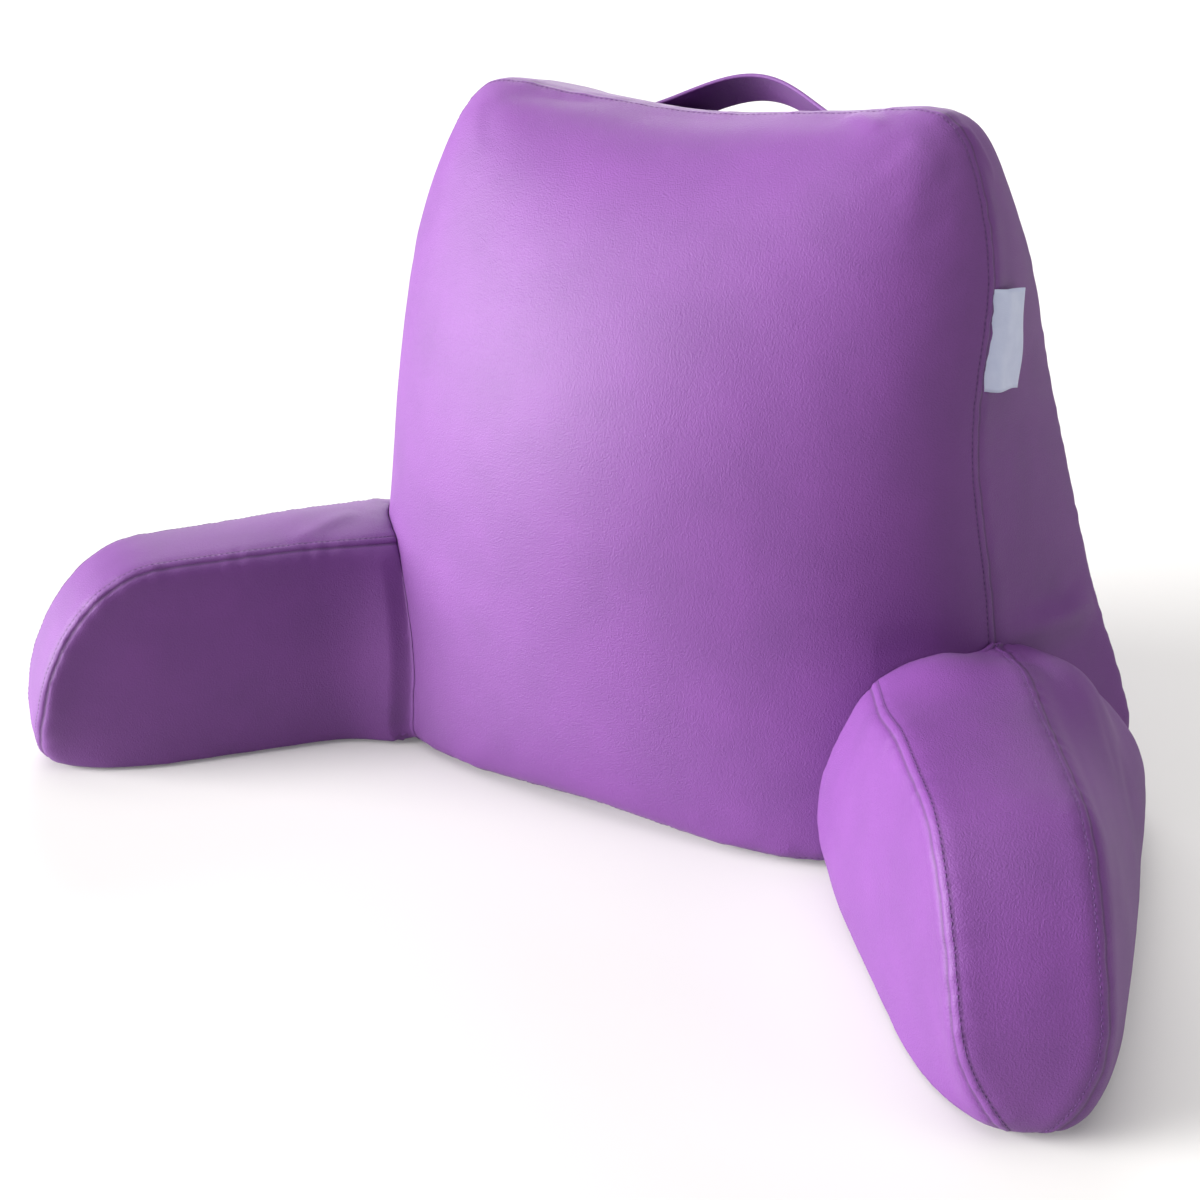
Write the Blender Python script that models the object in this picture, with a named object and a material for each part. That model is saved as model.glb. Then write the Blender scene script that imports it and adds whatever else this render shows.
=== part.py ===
"""Reading pillow with arms, standing on the floor as it is used: a wedge-shaped back cushion with a crowned front,
two arms sewn to its lower front corners, a carry strap on the top and a small blank side label.

Metres, +Z up. The front faces -Y, +X is the viewer's right, and Z = 0 is the floor.
The origin is the middle of the back cushion's flat underside.
"""

from math import cos, hypot, pi, radians, sin

import bmesh
import bpy
import numpy as np

# ---------------------------------------------------------------- sizes

SEW_GAP = 0.0003  # between two pieces that are sewn together
SEAM_DIP = 0.0022  # how far a seam sinks below the cloth beside it
WELT = 0.007  # the cloth stands full this far from a seam
ORIGIN_Y = 0.092  # from the front seam's plane to the middle of the underside

# The two long seams of the back cushion, as seen from the front: right half only, from the bottom
# round to the top. The left half mirrors it. y runs from the plane of the lower front edge.
FRONT_SEAM = (
    # place            x       y       z
    ("bottom middle", 0.000, -0.030, 0.005),
    ("arm foot",      0.200, -0.006, 0.005),
    ("lower corner",  0.256,  0.040, 0.032),
    ("arm top",       0.241,  0.064, 0.155),
    ("side",          0.219,  0.059, 0.280),
    ("shoulder",      0.209,  0.083, 0.400),
    ("corner",        0.170,  0.094, 0.468),
    ("inside corner", 0.105,  0.094, 0.464),
    ("top middle",    0.000,  0.094, 0.456),
)
REAR_SEAM = (
    # place            x       y       z
    ("bottom middle", 0.000,  0.214, 0.013),
    ("arm foot",      0.200,  0.214, 0.013),
    ("lower corner",  0.308,  0.196, 0.032),
    ("arm top",       0.260,  0.216, 0.155),
    ("side",          0.222,  0.208, 0.280),
    ("shoulder",      0.186,  0.198, 0.400),
    ("corner",        0.149,  0.194, 0.455),
    ("inside corner", 0.104,  0.194, 0.448),
    ("top middle",    0.000,  0.194, 0.437),
)
LOOP_STEPS = 4  # points from one row of the table to the next
FRONT_CROWN = 0.088
REAR_CROWN = 0.030
CROWN_POWER = 0.62  # below 1 the panel is full out to its edge
GUSSET_BULGE = 0.007
SOLE_SAG = 0.040  # the filling presses the lower gusset flat on the floor
SOLE_FROM_Z = 0.060
CUTTER_BELOW = 0.040

# Arms. u runs forward along the arm from its root, v sideways from the middle of its top strip,
# positive away from the other arm.
ARM_ROOT = (0.2250, 0.0250)
ARM_SPLAY = {"left": radians(35), "right": radians(31.5)}  # from straight forward
ARM_LENGTH = {"left": 0.268, "right": 0.276}
ARM_HEIGHT = 0.153
INNER_DROP = {"left": 0.002, "right": 0.026}  # the strip's inner seam lies this much lower at the root
DROP_ENDS_U = 0.110
NOSE_RADIUS = 0.088
NOSE_POWER = 1.85  # 2 is an ellipse
NOSE_LOW_Z = 0.022
NOSE_TUCK = 0.014
NOSE_PLAN_POWER = 2.2
NOSE_SHIFT = 0.008  # the nose turns outwards towards the floor
STRIP_NARROWS_Z = 0.066  # below this the strip narrows as it runs under the nose
STRIP_HALF = {"root": 0.0450, "nose": 0.0370, "floor": 0.0060}
STRIP_CROWN = {"root": 0.0100, "nose": 0.0035}
ARM_WIDTHS = (
    # u       inner   outer, the widest each side panel reaches beyond the strip
    (-0.140,  0.010,  0.030),
    (-0.125,  0.024,  0.055),
    (-0.100,  0.036,  0.100),
    (-0.060,  0.038,  0.114),
    (0.000,   0.036,  0.098),
    (0.060,   0.026,  0.078),
    (0.120,   0.016,  0.061),
    (0.190,   0.004,  0.038),
    (0.276,  -0.004,  0.010),
)
SIDE_PROFILE = (
    # height   inner  outer at the root, both at the nose, as a share of that width
    (0.00,     0.50,  0.90,  0.60),
    (0.06,     0.72,  0.97,  0.86),
    (0.16,     0.91,  1.00,  0.98),
    (0.30,     1.00,  1.00,  1.00),
    (0.45,     0.99,  0.91,  0.97),
    (0.60,     0.88,  0.70,  0.88),
    (0.75,     0.68,  0.44,  0.71),
    (0.88,     0.42,  0.20,  0.46),
    (0.955,    0.22,  0.08,  0.24),
    (1.00,     0.00,  0.00,  0.00),
)
INNER_FULL = {"left": 0.6, "right": 1.0}  # of the inner widths above
FOOT_ROUND = 0.020
STRAIGHT_STATIONS = (-0.140, -0.125, -0.100, -0.075, -0.045, -0.015, 0.020, 0.060, 0.105, 0.150)
NOSE_STEPS = 9
TUCK_STEPS = 3
STRIP_STEPS = 6

# Carry strap: a band bent into a low arch on the rear of the top.
STRAP_WIDTH = 0.030
STRAP_THICK = 0.0032
STRAP_TILT = radians(40)  # its rear edge lies lower than its front edge
STRAP_PEAK = (0.0, 0.190, 0.4655)
STRAP_HALF_SPAN = 0.100
STRAP_RISE = 0.036
STRAP_STEPS = 28

# Side label: a folded tape caught in the right front seam.
LABEL_HEIGHT = 0.056
LABEL_REACH = 0.041
LABEL_LAYER = 0.0010
LABEL_APART = 0.0005
LABEL_BURIED = 0.004
LABEL_BEND = 0.014  # its sewn end dives into the seam over this length
LABEL_DIVE = 0.010
LABEL_Z = 0.340  # its middle
LABEL_LIFT = radians(9)  # between the label and the gusset below it
LABEL_DROOP = 0.006  # its free edge hangs this much lower
LABEL_CLEAR = 0.0015
LABEL_STEPS = 6
LABEL_BEND_STEPS = 4

VELOUR = dict(color=(0.30, 0.12, 0.42, 1.0), roughness=0.85)
TAPE = dict(color=(0.62, 0.66, 0.78, 1.0), roughness=0.60)


# ---------------------------------------------------------------- curves and lofts

def smooth_loop(points, steps):
    """A closed curve through the points, with tangents set by the length of the chords."""
    count = len(points)
    curve = []
    for i in range(count):
        before, start, end, after = (points[(i + k) % count] for k in (-1, 0, 1, 2))
        d0, d1, d2 = (np.linalg.norm(b - a) for a, b in ((before, start), (start, end), (end, after)))
        leave = d1 * ((start - before) / d0 - (end - before) / (d0 + d1) + (end - start) / d1)
        arrive = d1 * ((end - start) / d1 - (after - start) / (d1 + d2) + (after - end) / d2)
        for t in np.arange(steps) / steps:
            curve.append((2 * t**3 - 3 * t**2 + 1) * start + (t**3 - 2 * t**2 + t) * leave
                         + (3 * t**2 - 2 * t**3) * end + (t**3 - t**2) * arrive)
    return np.array(curve)


def seam_loop(table):
    right = np.array([row[1:] for row in table])
    left = right[1:-1][::-1] * (-1, 1, 1)
    return smooth_loop(np.vstack([right, left]), LOOP_STEPS) - (0, ORIGIN_Y, 0)


def unit(vectors):
    return vectors / np.linalg.norm(vectors, axis=-1, keepdims=True)


def loft(name, rings, colour):
    """One closed body through rings of equal length, with a flat cap at each end."""
    mesh = bmesh.new()
    rows = [[mesh.verts.new(point) for point in ring] for ring in rings]
    for row, following in zip(rows, rows[1:]):
        for i in range(len(row)):
            j = (i + 1) % len(row)
            mesh.faces.new((row[i], row[j], following[j], following[i]))
    mesh.faces.new(rows[0])
    mesh.faces.new(rows[-1])
    bmesh.ops.remove_doubles(mesh, verts=mesh.verts, dist=1e-6)
    bmesh.ops.triangulate(mesh, faces=mesh.faces)
    bmesh.ops.recalc_face_normals(mesh, faces=mesh.faces)
    data = bpy.data.meshes.new(name)
    mesh.to_mesh(data)
    mesh.free()
    data.shade_smooth()
    data.materials.append(cloth(name, **colour))
    solid = bpy.data.objects.new(name, data)
    bpy.context.scene.collection.objects.link(solid)
    return solid


def cloth(name, color, roughness):
    material = bpy.data.materials.new(name)
    material.use_nodes = True
    shader = material.node_tree.nodes["Principled BSDF"]
    shader.inputs["Base Color"].default_value = color
    shader.inputs["Roughness"].default_value = roughness
    shader.inputs["Metallic"].default_value = 0.0
    material.diffuse_color = color
    return material


# ---------------------------------------------------------------- back cushion

def back_rings():
    """Rings from the middle of the rear panel, over the gusset, to the middle of the front panel."""
    front, rear = seam_loop(FRONT_SEAM), seam_loop(REAR_SEAM)
    outward = unit((front - front.mean(axis=0)) * (1, 0, 1))
    sole = np.clip((SOLE_FROM_Z - front[:, 2]) / (SOLE_FROM_Z - FRONT_SEAM[0][3]), 0, 1)
    forward = np.array((0.0, -1.0, 0.0))

    def panel(seam, facing, crown, share):
        """A contour of the panel: each finer wave of the seam dies out sooner towards the middle."""
        waves = np.fft.rfft(seam, axis=0)
        fading = share ** np.arange(len(waves))
        ring = np.fft.irfft(waves * fading[:, None], len(seam), axis=0)
        return ring + facing * crown * (1 - share**2) ** CROWN_POWER

    def gusset(t):
        ring = rear + (front - rear) * t
        arch = sin(pi * t)
        ring = ring + outward * GUSSET_BULGE * arch**0.6
        ring[:, 2] -= sole * SOLE_SAG * arch**0.7
        return ring

    def dipped(seam, facing):
        return seam - unit(outward + facing) * SEAM_DIP

    edge = 1 - WELT / 0.2
    shares = (0.03, 0.20, 0.40, 0.60, 0.76, 0.89, edge)
    depth = np.linalg.norm(front - rear, axis=1).mean()
    across = (WELT / depth, 0.18, 0.34, 0.50, 0.66, 0.82, 1 - WELT / depth)
    rings = [panel(rear, -forward, REAR_CROWN, share) for share in shares]
    rings.append(dipped(rear, -forward))
    rings += [gusset(t) for t in across]
    rings.append(dipped(front, forward))
    rings += [panel(front, forward, FRONT_CROWN, share) for share in reversed(shares)]
    for ring in rings:
        ring[:, 2] = np.maximum(ring[:, 2], 0)
    return rings


def inflated(solid, name):
    """A cutter: the solid grown by the sewing gap, its underside dropped clear of the floor."""
    cutter = bpy.data.objects.new(name, solid.data.copy())
    bpy.context.scene.collection.objects.link(cutter)
    mesh = bmesh.new()
    mesh.from_mesh(cutter.data)
    moves = [vertex.normal * SEW_GAP for vertex in mesh.verts]
    for vertex, move in zip(mesh.verts, moves):
        vertex.co += move
        if vertex.co.z < SEW_GAP:
            vertex.co.z -= CUTTER_BELOW
    mesh.to_mesh(cutter.data)
    mesh.free()
    cutter.hide_render = True
    cutter.display_type = "WIRE"
    return cutter


def trim(solid, cutter):
    cut = solid.modifiers.new("trimmed at the back cushion", "BOOLEAN")
    cut.operation = "DIFFERENCE"
    cut.object = cutter


# ---------------------------------------------------------------- arms

def mix(start, end, share):
    return start + (end - start) * share


def arm_stations(length):
    """(base u, outline u, outline z, turn) for each section: turn is 0 upright and 1 on the floor."""
    straight_end = length - NOSE_RADIUS
    stations = [(u, u, ARM_HEIGHT, 0.0) for u in STRAIGHT_STATIONS]
    for angle in np.linspace(0, pi / 2, NOSE_STEPS):
        u = NOSE_RADIUS * sin(angle) ** (2 / NOSE_POWER)
        z = NOSE_LOW_Z + (ARM_HEIGHT - NOSE_LOW_Z) * cos(angle) ** (2 / NOSE_POWER)
        stations.append((straight_end, straight_end + u, z, u / hypot(u, z)))
    for angle in np.linspace(0, pi / 2, TUCK_STEPS + 1)[1:]:
        u = NOSE_RADIUS - NOSE_TUCK * (1 - cos(angle))
        z = NOSE_LOW_Z * (1 - sin(angle))
        stations.append((straight_end, straight_end + u, z, u / hypot(u, z)))
    return stations


def full_half(u, length):
    """Half the strip's width before it narrows under the nose."""
    return mix(STRIP_HALF["root"], STRIP_HALF["nose"], np.clip(u / length, 0, 1))


def side_line(base, top, turn, top_half, side_column, full, length):
    """(u, distance from the strip's middle, z) up a side panel, from the floor to the strip's seam."""
    u_rows = [row[0] for row in ARM_WIDTHS]
    widths = [row[side_column] * full for row in ARM_WIDTHS]
    line = []
    for row in SIDE_PROFILE:
        height = row[0]
        u, z = mix(np.array(base), np.array(top), height)
        along = np.clip(u / length, 0, 1)
        share = mix(row[side_column], row[3], along)
        foot = mix(SIDE_PROFILE[0][side_column], SIDE_PROFILE[0][3], along)
        width = np.interp(u, u_rows, widths)
        upright = mix(full_half(u, length), top_half, height) + width * share
        lowest = mix(foot, 1.0, 1 - max(0.0, 1 - z / FOOT_ROUND) ** 2)
        rounded = mix(top_half, full_half(u, length) + width * lowest, (1 - height**NOSE_PLAN_POWER) ** 0.5)
        line.append((u, mix(upright, rounded, turn**2), z))
    return line


def arm_rings(side):
    splay, length = ARM_SPLAY[side], ARM_LENGTH[side]
    ahead = np.array((sin(splay), -cos(splay)))
    aside = np.array((cos(splay), sin(splay)))
    rings = []
    for base_u, top_u, top_z, turn in arm_stations(length):
        along = np.clip(top_u / length, 0, 1)
        under = np.clip(1 - top_z / STRIP_NARROWS_Z, 0, 1) ** 1.6
        half = mix(full_half(top_u, length), STRIP_HALF["floor"], under)
        crown = mix(STRIP_CROWN["root"], STRIP_CROWN["nose"], along)
        drop = INNER_DROP[side] * np.clip(1 - top_u / DROP_ENDS_U, 0, 1)
        reach = hypot(top_u - base_u, top_z)
        out_u, out_z = (top_u - base_u) / reach, top_z / reach
        base, inner_top, outer_top = (base_u, 0.0), (top_u, top_z - drop), (top_u, top_z)
        inner = side_line(base, inner_top, turn, half, 1, INNER_FULL[side], length)
        outer = side_line(base, outer_top, turn, half, 2, 1.0, length)
        profile = [(u, -v, z) for u, v, z in inner]
        edge = max(1 - WELT / half, 0.6)
        for share in np.linspace(-edge, edge, STRIP_STEPS):
            rise = (SEAM_DIP + crown * (1 - share**2)) * (1 - under)
            profile.append((top_u + out_u * rise, half * share, top_z - drop * (1 - share) / 2 + out_z * rise))
        profile += reversed(outer)
        ring = []
        for u, v, z in profile:
            shift = NOSE_SHIFT * turn**2 * (u - base_u) / NOSE_RADIUS
            x, y = np.array(ARM_ROOT) + ahead * u + aside * (v + shift)
            ring.append((x if side == "right" else -x, y - ORIGIN_Y, z))
        rings.append(ring)
    return rings


# ---------------------------------------------------------------- strap and label

def strap_rings():
    """Sections along the arch. Its ends run into the cushion and are trimmed off at its surface."""
    width = np.array((0.0, cos(STRAP_TILT), -sin(STRAP_TILT)))
    rise = np.array((0.0, sin(STRAP_TILT), cos(STRAP_TILT)))
    peak = np.array(STRAP_PEAK) - (0, ORIGIN_Y, 0)
    rings = []
    for t in np.linspace(-1, 1, STRAP_STEPS + 1):
        x = STRAP_HALF_SPAN * t
        drop = STRAP_RISE * sin(pi * t / 2) ** 2
        slope = STRAP_RISE * sin(pi * t) * pi / 2 / STRAP_HALF_SPAN
        along = unit(np.array((1.0, 0.0, 0.0)) - rise * slope)
        up = np.cross(width, along)
        up = up if up @ rise > 0 else -up
        centre = peak + np.array((x, 0.0, 0.0)) - rise * drop
        half_w, half_t, soft = STRAP_WIDTH / 2, STRAP_THICK / 2, STRAP_THICK * 0.3
        corners = ((-half_w, -half_t + soft), (-half_w + soft, -half_t), (half_w - soft, -half_t),
                   (half_w, -half_t + soft), (half_w, half_t - soft), (half_w - soft, half_t),
                   (-half_w + soft, half_t), (-half_w, half_t - soft))
        rings.append([centre + width * w + up * h for w, h in corners])
    return rings


def tape_side(end, depth):
    """One face of the label's tape, from its sewn end, as (distance along it, distance from the gusset)."""
    along = [*np.linspace(0, LABEL_BEND, LABEL_BEND_STEPS + 1), end]
    return [(a, depth - LABEL_DIVE * max(0.0, 1 - a / LABEL_BEND) ** 2) for a in along]


def label_rings():
    """Sections up the label: a tape folded at its free edge, its two ends caught in the seam."""
    front, rear = seam_loop(FRONT_SEAM), seam_loop(REAR_SEAM)
    right_side = np.argsort(front[:, 2][: len(front) // 2])
    rings = []
    for z in np.linspace(LABEL_Z - LABEL_HEIGHT / 2, LABEL_Z + LABEL_HEIGHT / 2, LABEL_STEPS + 1):
        seam = np.array([np.interp(z, front[right_side, 2], front[right_side, k]) for k in range(3)])
        back = np.array([np.interp(z, rear[right_side, 2], rear[right_side, k]) for k in range(3)])
        run = unit((back - seam) * (1, 1, 0))
        off = np.array((run[1], -run[0], 0.0))
        lay = run * cos(LABEL_LIFT) + off * sin(LABEL_LIFT)
        face = np.array((lay[1], -lay[0], 0.0))
        start = seam + off * (GUSSET_BULGE * 0.5 + LABEL_CLEAR) - lay * LABEL_BURIED
        full = LABEL_REACH + LABEL_BURIED
        thick = 2 * LABEL_LAYER + LABEL_APART
        outside, inside = full - thick / 4, full - LABEL_LAYER
        outline = (tape_side(outside, 0) + [(full, thick / 4), (full, thick * 3 / 4)]
                   + tape_side(outside, thick)[::-1] + tape_side(inside, thick - LABEL_LAYER)
                   + tape_side(inside, LABEL_LAYER)[::-1])
        droop = LABEL_DROOP / full
        rings.append([start * (1, 1, 0) + (0, 0, z - droop * a) + lay * a + face * b for a, b in outline])
    return rings


# ---------------------------------------------------------------- build

def clear_scene():
    for existing in list(bpy.data.objects):
        bpy.data.objects.remove(existing, do_unlink=True)


def build():
    clear_scene()
    back = loft("back_cushion", back_rings(), VELOUR)
    cutter = inflated(back, "back_cutter")
    for side in ("left", "right"):
        trim(loft(f"arm_{side}", arm_rings(side), VELOUR), cutter)
    trim(loft("carry_handle", strap_rings(), VELOUR), cutter)
    trim(loft("side_label", label_rings(), TAPE), cutter)


build()
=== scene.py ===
# %% [markdown]
# # A reading pillow with arms, in purple velour
#
# The pillow is a filled back that stands by itself, two stubby filled arms sewn to its lower front corners,
# a cloth strap to carry it by, and a small folded label caught in the right front seam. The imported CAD
# model says where everything is. This script dresses it: each cushion is a copy of its CAD solid that is
# remeshed, blown up a little as cloth, and then given its seams, its stitches and its pile.

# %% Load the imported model
from math import cos, hypot, pi, radians, sin

import bpy
import numpy as np
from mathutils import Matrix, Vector
from mathutils.bvhtree import BVHTree
from mathutils.kdtree import KDTree


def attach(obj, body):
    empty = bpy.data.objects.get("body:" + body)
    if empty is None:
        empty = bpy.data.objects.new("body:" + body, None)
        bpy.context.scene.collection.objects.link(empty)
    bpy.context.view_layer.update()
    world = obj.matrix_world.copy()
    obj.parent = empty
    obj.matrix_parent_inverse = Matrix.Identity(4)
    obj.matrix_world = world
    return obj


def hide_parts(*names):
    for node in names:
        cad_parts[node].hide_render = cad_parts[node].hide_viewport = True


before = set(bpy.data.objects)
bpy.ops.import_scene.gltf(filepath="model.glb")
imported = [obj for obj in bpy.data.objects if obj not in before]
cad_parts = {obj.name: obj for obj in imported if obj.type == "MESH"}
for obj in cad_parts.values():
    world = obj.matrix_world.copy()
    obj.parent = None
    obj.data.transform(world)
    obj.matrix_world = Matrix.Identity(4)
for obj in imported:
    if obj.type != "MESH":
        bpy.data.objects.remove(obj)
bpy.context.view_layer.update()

# %% [markdown]
# ## The camera
#
# The photograph is taken from the front right and a little above, with a normal lens. The camera stands
# where the outlines and seams of the model fall on those of the photograph.

# %% Camera
CAMERA_PLACE = (0.5453, -0.9973, 0.6007)
CAMERA_LOOKS_DOWN = radians(23.24)
CAMERA_TURNS = radians(31.76)
LENS_MM = 50.56
SENSOR_MM = 36.0

bpy.ops.object.camera_add(
    location=CAMERA_PLACE, rotation=(pi / 2 - CAMERA_LOOKS_DOWN, 0, CAMERA_TURNS)
)
camera = bpy.context.active_object
camera.name = "camera"
camera.data.lens = LENS_MM
camera.data.sensor_width = SENSOR_MM
bpy.context.scene.camera = camera
print("camera:", tuple(round(value, 3) for value in camera.location))

# %% [markdown]
# ## Where the seams run
#
# A sewn cover takes its form from its seams, so they come first. The back has two long ones, round the
# front panel and round the rear panel. Each arm has two, along both edges of the strip over its top. The
# routes are those of the CAD model, in metres, but the inner seams of the arms slide a few millimetres to
# where the photograph shows them. A route is a smooth closed curve through a few measured
# places. The full front panel rolls over its own edge, so its seam lies a few millimetres behind the edge,
# and more at the top.

# %% The two long seams of the back
ORIGIN_Y = 0.092
FRONT_SEAM = (
    # place            x       y       z
    ("bottom middle", 0.000, -0.030, 0.005),
    ("arm foot",      0.200, -0.006, 0.005),
    ("lower corner",  0.256,  0.040, 0.032),
    ("arm top",       0.241,  0.067, 0.155),
    ("side",          0.222,  0.063, 0.280),
    ("shoulder",      0.211,  0.089, 0.400),
    ("corner",        0.172,  0.104, 0.468),
    ("inside corner", 0.105,  0.107, 0.464),
    ("top middle",    0.000,  0.107, 0.456),
)
REAR_SEAM = (
    # place            x       y       z
    ("bottom middle", 0.000,  0.214, 0.013),
    ("arm foot",      0.200,  0.214, 0.013),
    ("lower corner",  0.308,  0.196, 0.032),
    ("arm top",       0.260,  0.216, 0.155),
    ("side",          0.222,  0.208, 0.280),
    ("shoulder",      0.186,  0.198, 0.400),
    ("corner",        0.149,  0.194, 0.455),
    ("inside corner", 0.104,  0.194, 0.448),
    ("top middle",    0.000,  0.194, 0.437),
)
SEAM_STEP = 0.001
CURVE_STEPS = 12


def smooth_loop(points, steps):
    """A closed curve through the points, with tangents set by the length of the chords."""
    count = len(points)
    curve = []
    for i in range(count):
        before, start, end, after = (points[(i + k) % count] for k in (-1, 0, 1, 2))
        d0, d1, d2 = (np.linalg.norm(b - a) for a, b in ((before, start), (start, end), (end, after)))
        leave = d1 * ((start - before) / d0 - (end - before) / (d0 + d1) + (end - start) / d1)
        arrive = d1 * ((end - start) / d1 - (after - start) / (d1 + d2) + (after - end) / d2)
        for t in np.arange(steps) / steps:
            curve.append((2 * t**3 - 3 * t**2 + 1) * start + (t**3 - 2 * t**2 + t) * leave
                         + (3 * t**2 - 2 * t**3) * end + (t**3 - t**2) * arrive)
    return np.array(curve)


def even_steps(line, step):
    """The same line with a point every step along it, and how far along each point is."""
    lengths = np.linalg.norm(np.diff(line, axis=0), axis=1)
    travelled = np.concatenate([[0], np.cumsum(lengths)])
    along = np.arange(0, travelled[-1], step)
    return np.stack([np.interp(along, travelled, line[:, k]) for k in range(3)], axis=1), along


def back_seam(table):
    right = np.array([row[1:] for row in table])
    left = right[1:-1][::-1] * (-1, 1, 1)
    loop = smooth_loop(np.vstack([right, left]), CURVE_STEPS) - (0, ORIGIN_Y, 0)
    return np.vstack([loop, loop[:1]])


front_seam = back_seam(FRONT_SEAM)
rear_seam = back_seam(REAR_SEAM)
print("front seam, mm:", round(1000 * even_steps(front_seam, SEAM_STEP)[1][-1]))

# %% [markdown]
# ## The arm seams
#
# An arm's top strip runs level from the back, turns down over the round nose and narrows under it. Its
# edges are the two seams. In plan the arm is a straight line that leaves the back at an angle, so a point
# on it is given as u, forward along the arm, and v, sideways from the strip's middle.

# %% Arm seams
ARM_ROOT = (0.2250, 0.0250)
ARM_SPLAY = {"left": radians(35), "right": radians(31.5)}
ARM_LENGTH = {"left": 0.268, "right": 0.276}
ARM_HEIGHT = 0.153
INNER_DROP = {"left": 0.002, "right": 0.026}
DROP_ENDS_U = 0.110
NOSE_RADIUS = 0.088
NOSE_POWER = 1.85
NOSE_LOW_Z = 0.022
NOSE_TUCK = 0.014
NOSE_SHIFT = 0.008
STRIP_NARROWS_Z = 0.066
STRIP_HALF = {"root": 0.0450, "nose": 0.0370, "floor": 0.0060}
INNER_SLIDE = {"left": -0.0045, "right": 0.0095}
SLIDE_LASTS_TO = {"left": 0.210, "right": 0.400}
SLIDE_FULL_U = 0.080
SLIDE_FADES_FROM = 0.8
STRIP_NARROWS_POWER = 1.6
SEAM_STARTS_U = -0.06
STRAIGHT_POINTS = 24
NOSE_POINTS = 24
UNDER_POINTS = 8


def step_up(values, start, end):
    """Rises smoothly from 0 at start to 1 at end."""
    share = np.clip((values - start) / (end - start), 0, 1)
    return share * share * (3 - 2 * share)


def arm_point(side, u, v, z):
    """A place on an arm, in the frame."""
    splay = ARM_SPLAY[side]
    x = ARM_ROOT[0] + sin(splay) * u + cos(splay) * v
    y = ARM_ROOT[1] - cos(splay) * u + sin(splay) * v - ORIGIN_Y
    return (x if side == "right" else -x, y, z)


def arm_ways(points, side):
    """How far forward along an arm each point is, and how far sideways from the strip's middle."""
    splay = ARM_SPLAY[side]
    x = points[:, 0] * (1 if side == "right" else -1) - ARM_ROOT[0]
    y = points[:, 1] + ORIGIN_Y - ARM_ROOT[1]
    return sin(splay) * x - cos(splay) * y, cos(splay) * x + sin(splay) * y


def arm_seam(side, edge):
    """One seam of an arm's strip: edge is -1 for the inner one and +1 for the outer one."""
    length = ARM_LENGTH[side]
    straight = length - NOSE_RADIUS
    outline = [(u, ARM_HEIGHT, 0.0) for u in np.linspace(SEAM_STARTS_U, straight, STRAIGHT_POINTS)]
    for angle in np.linspace(0, pi / 2, NOSE_POINTS)[1:]:
        u = NOSE_RADIUS * sin(angle) ** (2 / NOSE_POWER)
        z = NOSE_LOW_Z + (ARM_HEIGHT - NOSE_LOW_Z) * cos(angle) ** (2 / NOSE_POWER)
        outline.append((straight + u, z, u / hypot(u, z)))
    for angle in np.linspace(0, pi / 2, UNDER_POINTS)[1:]:
        u = NOSE_RADIUS - NOSE_TUCK * (1 - cos(angle))
        z = NOSE_LOW_Z * (1 - sin(angle))
        outline.append((straight + u, z, u / hypot(u, z)))
    points = []
    for u, z, turn in outline:
        full = STRIP_HALF["root"] + (STRIP_HALF["nose"] - STRIP_HALF["root"]) * min(max(u / length, 0), 1)
        under = min(max(1 - z / STRIP_NARROWS_Z, 0), 1) ** STRIP_NARROWS_POWER
        half = full + (STRIP_HALF["floor"] - full) * under
        drop = INNER_DROP[side] * min(max(1 - u / DROP_ENDS_U, 0), 1) if edge < 0 else 0
        shift = NOSE_SHIFT * turn**2 * max(u - straight, 0) / NOSE_RADIUS
        slide = 0.0
        if edge < 0:
            fades = 1 - step_up(u, SLIDE_FADES_FROM * SLIDE_LASTS_TO[side], SLIDE_LASTS_TO[side])
            slide = INNER_SLIDE[side] * step_up(u, 0.0, SLIDE_FULL_U) * fades
        points.append(arm_point(side, u, edge * half + shift - slide, z - drop))
    return np.array(points)


SIDES = ("left", "right")
arm_seams = {side: {"inner": arm_seam(side, -1), "outer": arm_seam(side, 1)} for side in SIDES}
print("arm seam, mm:", round(1000 * even_steps(arm_seams["right"]["inner"], SEAM_STEP)[1][-1]))

# %% [markdown]
# ## Small helpers
#
# An operator acts on everything that is selected, so each step selects exactly one object. The vertices of
# a piece are read and written as one array, because moving ninety thousand of them one by one is slow.


# %% Helpers
def only(piece):
    """Make one object the only selected and the active one."""
    bpy.ops.object.select_all(action="DESELECT")
    piece.select_set(True)
    bpy.context.view_layer.objects.active = piece


def points_of(piece):
    flat = np.empty(len(piece.data.vertices) * 3, np.float32)
    piece.data.vertices.foreach_get("co", flat)
    return flat.reshape(-1, 3).astype(float)


def normals_of(piece):
    flat = np.empty(len(piece.data.vertices) * 3, np.float32)
    piece.data.vertex_normals.foreach_get("vector", flat)
    return flat.reshape(-1, 3).astype(float)


def put_points(piece, points):
    piece.data.vertices.foreach_set("co", points.astype(np.float32).ravel())
    piece.data.update()


def surface_tree(piece):
    points = [Vector(p) for p in points_of(piece)]
    return BVHTree.FromPolygons(points, [tuple(face.vertices) for face in piece.data.polygons])


def apply_modifier(piece, modifier):
    only(piece)
    bpy.ops.object.modifier_apply(modifier=modifier.name)


print("CAD nodes to dress:", sorted(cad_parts))

# %% [markdown]
# ## From a CAD solid to even cloth
#
# The CAD solid has long thin triangles, and cloth needs small even faces. A voxel remesh gives those: it
# fills the solid with cubes and wraps a new skin of squares around them. It rounds every edge by about a
# cube, which suits a stuffed cover. A few passes of smoothing then take out the steps that the cubes leave.

# %% Even cloth
BACK_VOXEL = 0.0065
ARM_VOXEL = 0.0040
MERGE_WITHIN = 0.00002
CUBE_PASSES = 3


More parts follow.
